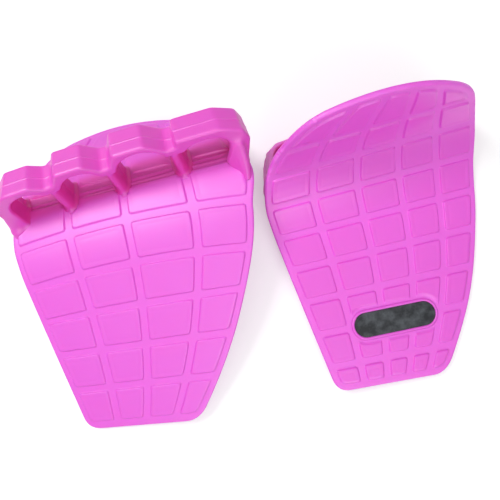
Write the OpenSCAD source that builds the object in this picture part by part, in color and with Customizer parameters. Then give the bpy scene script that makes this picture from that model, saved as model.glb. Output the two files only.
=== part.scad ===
// Pair of moulded palm grips, each with four finger loops, lying on a table.
// The left-hand grip lies with its hand side up, the right-hand grip with its bar side up.
// One grip is drawn flat side first: x across the hand, y towards the fingers, z to the hand side.

/* [Pad outline] */
// Middle line to either side at the widest place
half_width = 51; // [49:0.5:53]
// Wrist end to the widest place
wide_at = 89.5; // [84:0.5:94]
// Middle line to the little-finger side at the wrist end
little_wrist = 41; // [37:0.5:45]
// Middle line to the index-finger side at the wrist end
index_wrist = 9.7; // [6:0.1:16]
// Bow of the little-finger side towards the wrist, 1 for a straight line
little_bow = 1.1; // [1:0.1:2]
// Bow of the index-finger side towards the wrist
index_bow = 1.7; // [1.4:0.1:2.2]
// Slant of the wrist end, as rise per width
wrist_slant = -0.114; // [-0.15:0.002:0]
// Wrist end to the furthest point of the finger end, along the pad
pad_length = 147; // [143:1:150]
// Middle line to the little-finger side line at the finger end
little_tip = 26; // [22:0.5:30]
// Middle line to the index-finger side line at the finger end
index_tip = 28.4; // [24:0.1:33]
// Furthest point of the finger end, from the middle line
top_peak = -1.5; // [-4:0.5:2]
// Fall of the finger end at the full width
top_drop = 19.6; // [16:0.1:22]
// Corner size at the wrist end
wrist_corner = 6; // [4:0.5:9]
// Corner size at the finger end
top_corner = 6.5; // [5:0.5:9]

/* [Sheet and tiles] */
// Thickness of the base sheet
sheet_t = 2.4; // [2:0.1:3]
// Height of the raised tiles on both faces
tile_h = 0.8; // [0.5:0.1:1]
// Width of the grooves between tiles
groove = 3; // [2.4:0.1:3.4]
// Plain border round the tiles
border = 2.7; // [2.2:0.1:3.4]
// Rows of hand-side tiles between the wrist end and the flex groove
inner_rows = 5; // [4:1:6]
// Row spacing of the bar-side tiles
outer_pitch = 16.2; // [15.4:0.1:17]

/* [Bend and flex groove] */
// Radius of the left grip's bend, eased by lying on its ends
left_bend = 61.5; // [54:0.5:70]
// Radius of the right grip's bend, as moulded over a bar
right_bend = 37.5; // [36:0.5:46]
// Wrist end to the start of the bend
bend_at = 74.2; // [70:0.1:77]
// Wrist end to the end of the bend, where the straight fingertip end begins
bend_end = 124; // [120:1:128]
// Wrist end to the flex groove under the finger roots
flex_at = 93; // [91:0.5:95]

/* [Finger loops] */
// Wrist end to the middle of the loops
loop_at = 110.2; // [109:0.1:112]
// Turn of the row of loops, further from the wrist at the index finger
loop_turn = 4.5; // [2:0.1:6]
// Length of each loop along the finger
loop_length = 12.4; // [11:0.1:14]
// Wall over the top of each loop
loop_wall = 3; // [2.6:0.1:3.6]
// Wall at the little-finger end
little_wall = 4.8; // [4:0.1:5.6]
// Wall at the index-finger end
index_wall = 3.8; // [3.2:0.1:4.6]
// Lift of the round of each opening above the pad
opening_lift = 1.4; // [1.3:0.1:2.2]
// Extra height of the index loop
index_rise = 0.6; // [0:0.1:2]
// Half width of the flat on top of a loop
flat_half = 5.5; // [4.5:0.1:6.5]
// Half width of the flat on top of the index loop
index_flat = 7.8; // [6:0.1:8.5]
// Thickness of the dividers between fingers
divider_t = 5.4; // [4.6:0.1:5.8]
// Length of the rounded nose of each divider
nose_length = 5.8; // [4:0.1:6]
// Height of the front rim that runs over the divider noses
rim_h = 3.4; // [2.6:0.1:4]
// Height of the dip between two loops
valley_h = 17.9; // [17:0.1:18.5]
// Half width of the flat in each dip
valley_half = 1.6; // [1:0.1:2]
// Height of the shoulders at both ends
shoulder_h = 15.3; // [13:0.1:16.5]
// Outward lean of the index end, at its shoulder
end_flare = 1.5; // [0:0.1:4]
// Height of the end webs where they meet the loops
end_web_h = 12.5; // [9:0.5:14]
// Height of the two beads along the finger crease
bead_h = 0.6; // [0.3:0.1:0.8]
// Width of each crease bead
bead_w = 1; // [0.8:0.1:1.4]

/* [Inlay] */
// Length of the plain dark inlay on the bar side
inlay_length = 38; // [30:1:40]
// Width of the inlay
inlay_width = 11; // [9:0.5:13]
// Depth of its pocket in the sheet
inlay_depth = 1.1; // [0.8:0.1:1.3]
// Raised rim round the inlay
inlay_rim = 1.2; // [0.8:0.1:1.6]

/* [Layout on the table] */
// Left grip, its middle line from the outer side
left_across = 17.99; // [16:0.01:20]
// Left grip, its wrist end along the table
left_along = -75.74; // [-78:0.01:-72]
// Left grip, rise of the palm from the wrist end
left_rise = 14; // [12:0.1:16]
// Left grip, lean towards the little-finger side
left_lean = -5.5; // [-7:0.1:-4]
// Left grip, turn on the table
left_turn = 11.9; // [10:0.1:14]
// Left grip, height of its wrist end
left_lift = 3.83; // [3:0.05:7]
// Right grip, its middle line from the outer side
right_across = 27.74; // [26:0.01:30]
// Right grip, its wrist end along the table
right_along = -55.89; // [-58:0.01:-52]
// Right grip, rise of the palm from the wrist end
right_rise = 1.2; // [0:0.1:3]
// Right grip, lean towards the index-finger side
right_lean = 3.4; // [2:0.1:5]
// Right grip, turn on the table
right_turn = 15.7; // [13:0.1:18]
// Right grip, height of its wrist end
right_lift = 3.23; // [1:0.05:5]

/* [Hidden] */
$fn = 72;

// Fit between separate pieces
clear = 0.1;
// Tiles keep this far from a loop's foot
foot_gap = 0.4;
// Loops and webs are drawn this deep into the pad before its face trims them
root = 2;
// Hair's breadth between the finger pad and the flex strip
hair = 0.002;
// Height left at the thin end of an end web
web_lip = 0.4;
// Column lines of the hand side, as shares of the tiled width
inner_shares = [0, 0.238, 0.501, 0.783, 1];
// Column lines of the bar side
outer_shares = [0, 0.2, 0.416, 0.626, 0.827, 1];
// Even rows of hand-side tiles fill the length from border to flex groove
inner_pitch = (flex_at - border) / inner_rows;
// Crease under the finger roots, one tile row past the flex groove
crease_at = flex_at + inner_pitch;
// Middle of the finger zone, where its edges stand square
zone_mid = (flex_at + pad_length) / 2;
wide = 2 * half_width;
// Bend radius of the grip being drawn
$bend = right_bend;
silicone = [0.91, 0.35, 0.80];
graphite = [0.16, 0.16, 0.18];

// Angle turned by the bend at a place along the pad
function turn_at(v) = (min(max(v, bend_at), bend_end) - bend_at) / $bend * 180 / PI;
// Middle of the sheet at a place along the pad, flat, then bent, then straight again
function mid_y(v) = min(v, bend_at) + $bend * sin(turn_at(v)) + max(0, v - bend_end) * cos(turn_at(v));
function mid_z(v) = $bend * (cos(turn_at(v)) - 1) - max(0, v - bend_end) * sin(turn_at(v));
// A place along the pad seen square to another place
function along(v, at) = (mid_y(v) - mid_y(at)) * cos(turn_at(at)) - (mid_z(v) - mid_z(at)) * sin(turn_at(at));
function seen(p, at) = [p[0], along(p[1], at)];
// Radius of the hand-side and bar-side faces of the sheet round the bend
function face_r() = $bend + sheet_t / 2;
function back_r() = $bend - sheet_t / 2;

// Side lines and finger end of the pad, drawn in by an inset
function wrist_fall(v, bow) = pow(max(0, wide_at - v) / wide_at, bow);
function tip_fall(v) = pow(max(0, v - wide_at) / (pad_length - wide_at), 2);
function half_at(v, wrist, bow, tip) =
    half_width - (half_width - wrist) * wrist_fall(v, bow) - (half_width - tip) * tip_fall(v);
function little_side(v, inset = 0) = inset - half_at(v, little_wrist, little_bow, little_tip);
function index_side(v, inset = 0) = half_at(v, index_wrist, index_bow, index_tip) - inset;
function top_edge(u, inset = 0) =
    pad_length - inset - top_drop * pow((u - top_peak) / (half_width + top_peak), 2);
function across(v, share) = little_side(v, border) + share * (index_side(v, border) - little_side(v, border));

// Rows fan out from the flex groove, so that the last one follows the slanted wrist end
function row_slant(v) = wrist_slant * (1 - v / flex_at);
function row_v(v, u) = v + row_slant(v) * u;
// Crossing of a row line and a column line, moved across by an offset
function crossing(v, share, offset = 0) =
    let (u = across(row_v(v, across(v, share)), share) + offset)
        [u, row_v(v, u)];

// Where a side line meets the finger end, found by closing in on it
function little_meet(v, inset, n = 24) =
    n == 0 ? v : little_meet((v + top_edge(little_side(v, inset), inset)) / 2, inset, n - 1);
function index_meet(v, inset, n = 24) =
    n == 0 ? v : index_meet((v + top_edge(index_side(v, inset), inset)) / 2, inset, n - 1);

// A rounded corner as a curve from one point to another, drawn towards the corner
function corner(from, tip, to, steps = 6) = [
    for (i = [0:steps])
        let (t = i / steps)
            pow(1 - t, 2) * from + 2 * t * (1 - t) * tip + t * t * to
];

// Outline of the pad as far as the flex groove
function palm_outline(inset) =
    let (
        high = flex_at + groove,
        steps = 14,
        lu = little_side(row_v(0, -little_wrist), inset),
        ru = index_side(row_v(0, index_wrist), inset),
        lv = row_v(0, lu) + inset,
        rv = row_v(0, ru) + inset,
        l0 = lv + wrist_corner,
        r0 = rv + wrist_corner,
        lc = lu + wrist_corner,
        rc = ru - wrist_corner
    )
    concat(
        [for (i = [0:steps]) let (v = l0 + (high - l0) * i / steps) [little_side(v, inset), v]],
        [for (i = [steps:-1:0]) let (v = r0 + (high - r0) * i / steps) [index_side(v, inset), v]],
        corner([index_side(r0, inset), r0], [ru, rv], [rc, row_v(0, rc) + inset]),
        corner([lc, row_v(0, lc) + inset], [lu, lv], [little_side(l0, inset), l0])
    );

// Outline of the pad from just before the flex groove to the finger end
function finger_outline(inset) =
    let (
        low = flex_at - groove,
        lv = little_meet(pad_length, inset),
        rv = index_meet(pad_length, inset),
        lu = little_side(lv, inset),
        ru = index_side(rv, inset),
        l1 = lv - top_corner,
        r1 = rv - top_corner,
        la = lu + top_corner,
        ra = ru - top_corner,
        steps = 12
    )
    concat(
        [for (i = [0:steps]) let (v = low + (l1 - low) * i / steps) [little_side(v, inset), v]],
        corner([little_side(l1, inset), l1], [lu, lv], [la, top_edge(la, inset)]),
        [for (i = [1:steps - 1]) let (u = la + (ra - la) * i / steps) [u, top_edge(u, inset)]],
        corner([ra, top_edge(ra, inset)], [ru, rv], [index_side(r1, inset), r1]),
        [for (i = [1:steps]) let (v = r1 + (low - r1) * i / steps) [index_side(v, inset), v]]
    );

// One tile between two column lines and two row lines
function tile(shares, i, v0, v1) =
    let (
        a = i == 0 ? -half_width : groove / 2,
        b = i == len(shares) - 2 ? half_width : -groove / 2
    )
    concat(
        [for (k = [0:4]) crossing(v0 + (v1 - v0) * k / 4, shares[i], a)],
        [for (k = [4:-1:0]) crossing(v0 + (v1 - v0) * k / 4, shares[i + 1], b)]
    );

module flat_pad(inset, at) {
    polygon([for (p = at == 0 ? palm_outline(inset) : finger_outline(inset)) seen(p, at)]);
}

// Tiles in a list of rows, kept inside the border
module tile_field(shares, rows, at) {
    intersection() {
        flat_pad(border, at);
        for (row = rows)
            for (i = [0:len(shares) - 2])
                polygon([for (p = tile(shares, i, row[0], row[1])) seen(p, at)]);
    }
}

module stadium(length, width) {
    square([length - width, width], center = true);
    for (side = [-1, 1])
        translate([side * (length - width) / 2, 0])
            circle(d = width);
}

module at_inlay() {
    at = flex_at - 4 * outer_pitch;
    translate(crossing(at, 0.5))
        rotate(atan(row_slant(at)))
            children();
}

// Curved slab round the bend line, between two radii and two places along the pad
module bend_slab(r0, r1, v0, v1) {
    translate([0, bend_at, -$bend])
        rotate([0, -90, 0])
            rotate([0, 0, turn_at(v0)])
                rotate_extrude(angle = turn_at(v1) - turn_at(v0))
                    translate([r0, -wide])
                        square([r1 - r0, 2 * wide]);
}

// Layer of the palm pad between two heights: flat, then bent up to the flex groove
module palm_layer(h0, h1) {
    translate([0, bend_at, 0])
        translate([-wide, -wide - bend_at, h0])
            cube([2 * wide, wide + bend_at, h1 - h0]);
    bend_slab($bend + h0, $bend + h1, bend_at, flex_at - groove / 2);
}

module palm_prism() {
    translate([0, 0, -$bend / 2])
        linear_extrude($bend)
            children();
}

// Square to a place along the pad, from the middle of the sheet
module square_to(at) {
    translate([0, mid_y(at), mid_z(at)])
        rotate([-turn_at(at), 0, 0])
            children();
}

module finger_prism() {
    square_to(zone_mid)
        translate([0, 0, -$bend])
            linear_extrude(2 * $bend)
                children();
}

// Layer of the finger pad between two heights: bent, then straight to the finger end
module finger_layer(h0, h1) {
    square_to(bend_end) {
        translate([-wide, 0, h0])
            cube([2 * wide, pad_length - bend_end + half_width, h1 - h0]);
        mirror([0, 1, 0])
            translate([0, 0, -$bend])
                rotate([0, -90, 0])
                    rotate_extrude(angle = turn_at(bend_end) - turn_at(flex_at + groove / 2 + hair))
                        translate([$bend + h0, -wide])
                            square([h1 - h0, 2 * wide]);
    }
}

module palm_pad() {
    rows_in = [
        for (k = [0:inner_rows - 1])
            let (v1 = flex_at - k * inner_pitch)
                [max(border, v1 - inner_pitch + groove / 2), v1 - groove / 2]
    ];
    rows_out = [
        for (k = [0:5])
            let (v1 = flex_at - k * outer_pitch)
                [max(border, v1 - outer_pitch + groove / 2), v1 - groove / 2]
    ];
    frame = inlay_rim + groove / 2;
    color(silicone)
        difference() {
            union() {
                intersection() {
                    palm_layer(-sheet_t / 2, sheet_t / 2);
                    palm_prism()
                        flat_pad(0, 0);
                }
                intersection() {
                    palm_layer(0, sheet_t / 2 + tile_h);
                    palm_prism()
                        tile_field(inner_shares, rows_in, 0);
                }
                intersection() {
                    palm_layer(-sheet_t / 2 - tile_h, 0);
                    palm_prism()
                        difference() {
                            tile_field(outer_shares, rows_out, 0);
                            at_inlay()
                                stadium(inlay_length + 2 * frame, inlay_width + 2 * frame);
                        }
                }
                translate([0, 0, -sheet_t / 2 - tile_h])
                    linear_extrude(sheet_t / 2 + tile_h)
                        at_inlay()
                            stadium(inlay_length + 2 * inlay_rim, inlay_width + 2 * inlay_rim);
            }
            translate([0, 0, -sheet_t / 2 - 2 * tile_h])
                linear_extrude(inlay_depth + 2 * tile_h)
                    at_inlay()
                        stadium(inlay_length + 2 * clear, inlay_width + 2 * clear);
        }
}

module inlay() {
    color(graphite)
        translate([0, 0, -sheet_t / 2 - tile_h])
            linear_extrude(inlay_depth + tile_h)
                at_inlay()
                    stadium(inlay_length, inlay_width);
}

// Thin strip on the floor of the groove where the grip folds
module flex_web() {
    color(silicone)
        intersection() {
            bend_slab(back_r(), face_r(), flex_at - groove / 2, flex_at + groove / 2);
            palm_prism()
                flat_pad(0, 0);
        }
}

// Everything that stands on the hand side of the finger pad, grown by a gap
module loop_feet(gap) {
    square_to(loop_at)
        translate([0, 0, -$bend / 2])
            linear_extrude($bend) {
                rotate(loop_turn)
                    for (j = [0:4])
                        if (j == 0 || j == 4)
                            translate([wall_x(j) - wall_t(j) / 2 - gap, -loop_length / 2 - gap])
                                square([wall_t(j) + 2 * gap, loop_length + 2 * gap]);
                        else
                            divider_plan(j, gap);
                for (j = [0, 4])
                    web_plan(j, gap);
            }
}

// One raised bead along the crease, ahead of a place along the pad
module bead_slab(v) {
    bend_slab($bend, face_r() + bead_h, v, v + bead_w);
}

module finger_pad() {
    rows_in = [
        [flex_at + groove / 2, crease_at - groove - bead_w],
        [crease_at + groove / 2, pad_length]
    ];
    rows_out = [
        for (k = [0:2])
            let (v0 = flex_at + k * outer_pitch)
                [v0 + groove / 2, k == 2 ? pad_length : v0 + outer_pitch - groove / 2]
    ];
    color(silicone)
        union() {
            intersection() {
                finger_layer(-sheet_t / 2, sheet_t / 2);
                finger_prism()
                    flat_pad(0, zone_mid);
            }
            difference() {
                intersection() {
                    finger_layer(0, sheet_t / 2 + tile_h);
                    finger_prism()
                        tile_field(inner_shares, rows_in, zone_mid);
                }
                loop_feet(foot_gap);
            }
            difference() {
                intersection() {
                    for (back = [0.5, 2.5])
                        bead_slab(crease_at - back * bead_w);
                    finger_prism()
                        flat_pad(border, zone_mid);
                }
                loop_feet(foot_gap);
            }
            intersection() {
                finger_layer(-sheet_t / 2 - tile_h, 0);
                finger_prism()
                    tile_field(outer_shares, rows_out, zone_mid);
            }
        }
}

// Upright walls of the loops, from the little-finger end to the index end
function wall_t(j) = j == 0 ? little_wall : j == 4 ? index_wall : divider_t;
function wall_x(j) =
    j == 0 ? little_side(loop_at) + little_wall / 2 :
    j == 4 ? index_side(loop_at) - index_wall / 2 :
    across(loop_at, inner_shares[j]);
function wall_face(j) = j == 0 ? little_side(loop_at) : index_side(loop_at);

// Finger opening of one loop: half width, middle, height of the middle and of the loop's top
function hole_r(j) = (wall_x(j + 1) - wall_t(j + 1) / 2 - wall_x(j) - wall_t(j) / 2) / 2;
function hole_x(j) = wall_x(j) + wall_t(j) / 2 + hole_r(j);
function hole_z(j) = hole_r(j) + opening_lift + (j == 3 ? index_rise : 0);
function loop_top(j) = hole_z(j) + hole_r(j) + loop_wall;

// Plan of a divider: straight under the roof, with a rounded nose towards the wrist
module divider_plan(j, gap) {
    half = divider_t / 2 + gap;
    back = loop_length / 2 + gap;
    nose = nose_length + gap;
    steps = 8;
    translate([wall_x(j), 0])
        polygon(concat(
            [[half, back]],
            [for (i = [0:2 * steps]) let (a = 90 * i / steps) [half * cos(a), nose - back - nose * sin(a)]],
            [[-half, back]]
        ));
}

// End webs in plan: from the loops along the pad's sides to the flex groove
function web_near(j) = wall_x(j) * sin(loop_turn) - loop_length / 2 + root;
function web_far() = along(flex_at + groove, loop_at);
module web_plan(j, gap) {
    side = j == 0 ? -1 : 1;
    v_far = flex_at + groove;
    outer = side * half_width;
    inner = wall_x(j) - side * (wall_t(j) / 2 + gap);
    thin = (j == 0 ? little_side(v_far) : index_side(v_far)) - side * (loop_wall / 2 + gap);
    polygon([[outer, web_near(j)], [inner, web_near(j)], [thin, web_far()], [outer, web_far()]]);
}

// One end web, sloping from the loop down to the pad
module end_web(j) {
    near = web_near(j);
    far = web_far();
    drop = face_r() - sqrt(pow(face_r(), 2) - far * far);
    intersection() {
        linear_extrude($bend, center = true)
            intersection() {
                web_plan(j, 0);
                flat_pad(0, loop_at);
            }
        rotate([90, 0, 90])
            translate([0, sheet_t / 2])
                linear_extrude(2 * wide, center = true)
                    polygon([
                        [near, -drop - root], [near, end_web_h],
                        [far, web_lip - drop], [far, -drop - root]
                    ]);
    }
}

// One loop seen along the finger: a roof with sloped sides over a round-topped opening
module loop_section(j) {
    a = j == 0 ? -wide : wall_x(j);
    b = j == 3 ? wide : wall_x(j + 1);
    left_h = j == 0 ? shoulder_h : valley_h;
    right_h = j == 3 ? shoulder_h : valley_h;
    left_x = j == 0 ? wall_face(0) : a + valley_half;
    right_x = j == 3 ? wall_face(4) + end_flare : b - valley_half;
    flat = j == 3 ? index_flat : flat_half;
    difference() {
        polygon([
            [a, -root], [a, left_h], [left_x, left_h],
            [hole_x(j) - flat, loop_top(j)], [hole_x(j) + flat, loop_top(j)],
            [right_x, right_h], [b, right_h], [b, -root]
        ]);
        translate([hole_x(j), hole_z(j)])
            circle(r = hole_r(j));
        translate([hole_x(j) - hole_r(j), -2 * root])
            square([2 * hole_r(j), hole_z(j) + 2 * root]);
    }
}

// What is cut away in front of a divider to leave its nose, under the front rim
module nose_cut(j) {
    linear_extrude(2 * (valley_h - rim_h), center = true)
        difference() {
            translate([wall_x(j) - divider_t, -loop_length])
                square([2 * divider_t, loop_length / 2 + nose_length]);
            divider_plan(j, 0);
        }
}

// Everything inside an end face that turns part way along the pad's side and leans outwards
module inside_end(j) {
    side = j == 0 ? -1 : 1;
    v1 = loop_at + loop_length / 2;
    run = (j == 0 ? little_side(v1) : index_side(v1)) - wall_face(j);
    lean = j == 0 ? 0 : atan(end_flare / shoulder_h);
    translate([wall_face(j), 0, 0])
        rotate([0, 0, -atan(run / loop_length)])
            rotate([0, lean, 0])
                translate([side < 0 ? 0 : -2 * wide, -wide, -wide])
                    cube([2 * wide, 2 * wide, 2 * wide]);
}

module loop_body(j) {
    rotate([0, 0, loop_turn])
        difference() {
            rotate([90, 0, 0])
                linear_extrude(loop_length, center = true)
                    loop_section(j);
            if (j > 0)
                nose_cut(j);
            if (j < 3)
                nose_cut(j + 1);
        }
}

module finger_loop(j) {
    color(silicone)
        square_to(loop_at)
            difference() {
                union() {
                    translate([0, 0, sheet_t / 2])
                        if (j == 0 || j == 3)
                            intersection() {
                                loop_body(j);
                                inside_end(j == 0 ? 0 : 4);
                            }
                        else
                            loop_body(j);
                    if (j == 0)
                        end_web(0);
                    if (j == 3)
                        end_web(4);
                }
                translate([0, 0, -$bend])
                    rotate([0, 90, 0])
                        cylinder(r = face_r(), h = 4 * wide, center = true);
            }
}

module on_left() {
    $bend = left_bend;
    translate([left_across - half_width, left_along, left_lift])
        rotate([left_rise, left_lean, left_turn])
            children();
}

// The right grip is the left one mirrored, lying the other way up
module on_right() {
    $bend = right_bend;
    translate([right_across + half_width, right_along, right_lift])
        rotate([right_rise, right_lean, right_turn])
            mirror([0, 0, 1])
                children();
}

module left_palm_pad() { on_left() palm_pad(); }
module left_flex_web() { on_left() flex_web(); }
module left_finger_pad() { on_left() finger_pad(); }
module left_inlay() { on_left() inlay(); }
module left_little_loop() { on_left() finger_loop(0); }
module left_ring_loop() { on_left() finger_loop(1); }
module left_middle_loop() { on_left() finger_loop(2); }
module left_index_loop() { on_left() finger_loop(3); }
module right_palm_pad() { on_right() palm_pad(); }
module right_flex_web() { on_right() flex_web(); }
module right_finger_pad() { on_right() finger_pad(); }
module right_inlay() { on_right() inlay(); }
module right_little_loop() { on_right() finger_loop(0); }
module right_ring_loop() { on_right() finger_loop(1); }
module right_middle_loop() { on_right() finger_loop(2); }
module right_index_loop() { on_right() finger_loop(3); }

left_palm_pad();
left_flex_web();
left_finger_pad();
left_inlay();
left_little_loop();
left_ring_loop();
left_middle_loop();
left_index_loop();
right_palm_pad();
right_flex_web();
right_finger_pad();
right_inlay();
right_little_loop();
right_ring_loop();
right_middle_loop();
right_index_loop();
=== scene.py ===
# Pair of moulded silicone palm grips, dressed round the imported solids.
import math

import bpy
import numpy as np
from mathutils import Matrix, Vector


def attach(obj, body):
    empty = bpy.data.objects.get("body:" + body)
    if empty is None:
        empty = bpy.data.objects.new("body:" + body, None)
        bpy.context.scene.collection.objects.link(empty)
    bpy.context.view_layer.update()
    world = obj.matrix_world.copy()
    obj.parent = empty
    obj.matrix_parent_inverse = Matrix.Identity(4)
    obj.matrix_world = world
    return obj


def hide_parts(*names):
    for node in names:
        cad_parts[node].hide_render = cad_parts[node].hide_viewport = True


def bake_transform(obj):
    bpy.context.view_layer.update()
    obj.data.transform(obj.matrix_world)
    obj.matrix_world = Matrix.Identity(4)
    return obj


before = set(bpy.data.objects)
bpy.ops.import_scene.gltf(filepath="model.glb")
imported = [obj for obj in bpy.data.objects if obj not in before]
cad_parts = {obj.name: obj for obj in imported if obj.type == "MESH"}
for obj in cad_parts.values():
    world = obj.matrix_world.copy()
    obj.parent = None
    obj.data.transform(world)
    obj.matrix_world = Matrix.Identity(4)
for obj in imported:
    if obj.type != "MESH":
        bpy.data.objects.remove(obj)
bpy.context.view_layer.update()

MM = 0.001

# Sizes of one grip in millimetres, the same as the solids have
HALF, WIDE_AT, PAD_LENGTH = 51.0, 89.5, 147.0
LITTLE_WRIST, LITTLE_BOW, LITTLE_TIP = 41.0, 1.1, 26.0
INDEX_WRIST, INDEX_BOW, INDEX_TIP = 9.7, 1.7, 28.4
WRIST_SLANT, TOP_PEAK, TOP_DROP = -0.114, -1.5, 19.6
WRIST_CORNER, TOP_CORNER = 6.0, 6.5
SHEET_T, TILE_H, GROOVE, BORDER = 2.4, 0.8, 3.0, 2.7
INNER_ROWS, OUTER_ROWS, FINGER_ROWS, OUTER_PITCH = 5, 6, 3, 16.2
BEND_AT, BEND_END, FLEX_AT = 74.2, 124.0, 93.0
LOOP_AT, LOOP_TURN, LOOP_LENGTH = 110.2, math.radians(4.5), 12.4
LITTLE_WALL, INDEX_WALL, OPENING_LIFT, INDEX_RISE = 4.8, 3.8, 1.4, 0.6
DIVIDER_T, NOSE_LENGTH, RIM_H = 5.4, 5.8, 3.4
VALLEY_H, VALLEY_HALF, SHOULDER_H, END_WEB_H = 17.9, 1.6, 15.3, 12.5
BEAD_H, BEAD_W = 0.6, 1.0
INLAY_LENGTH, INLAY_WIDTH, INLAY_DEPTH, INLAY_RIM = 38.0, 11.0, 1.1, 1.2
INNER_SHARES = [0, 0.238, 0.501, 0.783, 1]
OUTER_SHARES = [0, 0.2, 0.416, 0.626, 0.827, 1]
INNER_PITCH = (FLEX_AT - BORDER) / INNER_ROWS
CREASE_AT = FLEX_AT + INNER_PITCH
INLAY_AT = FLEX_AT - 4 * OUTER_PITCH

# How each grip lies on the table, and how its soft index side and loops are eased by that
GRIPS = {
    "left": dict(
        bend=61.5, move=(17.99 - HALF, -75.74, 3.83), turn=(14.0, -5.5, 11.9), flip=1,
        splay=(2.3, 45), bulge=4.2, lean=0.0, tuck=0.0),
    "right": dict(
        bend=37.5, move=(27.74 + HALF, -55.89, 3.23), turn=(1.2, 3.4, 15.7), flip=-1,
        splay=(-2.2, 18), bulge=1.4, lean=0.27, tuck=9.5),
}
# Where those easings start and over what length they come in; the little loop's end shifts too
SPLAY_OVER = 45
BULGE_U, BULGE_U_OVER, BULGE_V, BULGE_V_OVER = 26, 20, 86, 18
LITTLE_SHIFT, SHIFT_FROM = 1.2, 15
TUCK_FROM, TUCK_OVER, TUCK_H, TUCK_BACK = 25, 25, 14, 0.27

# Finish of the moulding
RIM = 0.9
EDGE_W = 0.7
TILE_R = 1.3
FRAME_IN = 2.3
FRAME_DEEP, FRAME_W = 0.03, 0.22
ROW_ARCH = 0.0013
ARCH_FROM, ARCH_RISE, ARCH_TO, ARCH_FALL = 50, 18, 97, 8
FOOT_HALF, FOOT_TIP, FOOT_CLEAR = 3.6, 1.4, 1.1
WEB_THIN = 1.5
BEAD_CLEAR, BEAD_SLANT, BEAD_U = 0.6, 0.052, 16
RIM_SUNK, RIM_ROUND = 0.4, 0.5
PLATE_SIDE, PLATE_R = 0.45, 0.35
PLATE_CROWN = [(0.9, 0.06), (2.0, 0.02), (3.4, 0.0)]

# Mesh lines of the pad, closer below the loops and round the inlay
ROW_GAP, COLUMN_GAP, FINE_GAP = 2.2, 2.4, 0.55
LOOP_ROWS, INLAY_ROWS = (93.5, 118), 11
INLAY_COLUMNS, INLAY_GAP = (1, 2, 3), 0.6
SIDE_LINE = 1.7

# Painted shade: share of the darker tile colour by place, a painted relief shade, and the deeper rose painted
# below the loops
HAND_TILE, BAND_TILE, PAD_SHADE = 0.3, 0.5, 0.5
SHADE_WRIST, SHADE_TIP, SHADE_FADE, SHADE_SIDE = 7, 9, 4, 3


def half_at(v, wrist, bow, tip):
    """Distance of one side of the pad from its middle line."""
    v = np.minimum(v, PAD_LENGTH)
    low = (np.maximum(WIDE_AT - v, 0) / WIDE_AT) ** bow
    high = (np.maximum(v - WIDE_AT, 0) / (PAD_LENGTH - WIDE_AT)) ** 2
    return HALF - (HALF - wrist) * low - (HALF - tip) * high


def little_side(v):
    return -half_at(v, LITTLE_WRIST, LITTLE_BOW, LITTLE_TIP)


def index_side(v):
    return half_at(v, INDEX_WRIST, INDEX_BOW, INDEX_TIP)


def top_edge(u):
    return PAD_LENGTH - TOP_DROP * ((u - TOP_PEAK) / (HALF + TOP_PEAK)) ** 2


def across(v, share):
    """Place across the pad at a share of the tiled width."""
    low, high = little_side(v) + BORDER, index_side(v) - BORDER
    return low + share * (high - low)


def arch(u, v, hand):
    """How far the hand-side rows near the flex groove sag towards the sides."""
    if not hand:
        return 0 * u
    return ROW_ARCH * u * u * smooth((v - ARCH_FROM) / ARCH_RISE) * (1 - smooth((v - ARCH_TO) / ARCH_FALL))


def row_place(r, u, hand):
    """Place along the pad of a row line; rows fan out to follow the slanted wrist end."""
    v = r + WRIST_SLANT * (1 - r / FLEX_AT) * u
    return v - arch(u, v, hand)


def row_of(u, v, hand):
    """The row line through a place, and how far apart row lines lie there."""
    raised = v + arch(u, v + arch(u, v, hand), hand)
    spread = 1 - WRIST_SLANT * u / FLEX_AT
    return (raised - WRIST_SLANT * u) / spread, spread


def smooth(t):
    t = np.clip(t, 0, 1)
    return t * t * (3 - 2 * t)


def smin(a, b, k):
    """The smaller of two values, blended where they differ by less than k."""
    h = np.maximum(k - np.abs(a - b), 0) / k
    return np.minimum(a, b) - h * h * k / 4


def smax(a, b, k):
    return -smin(-a, -b, k)


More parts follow.
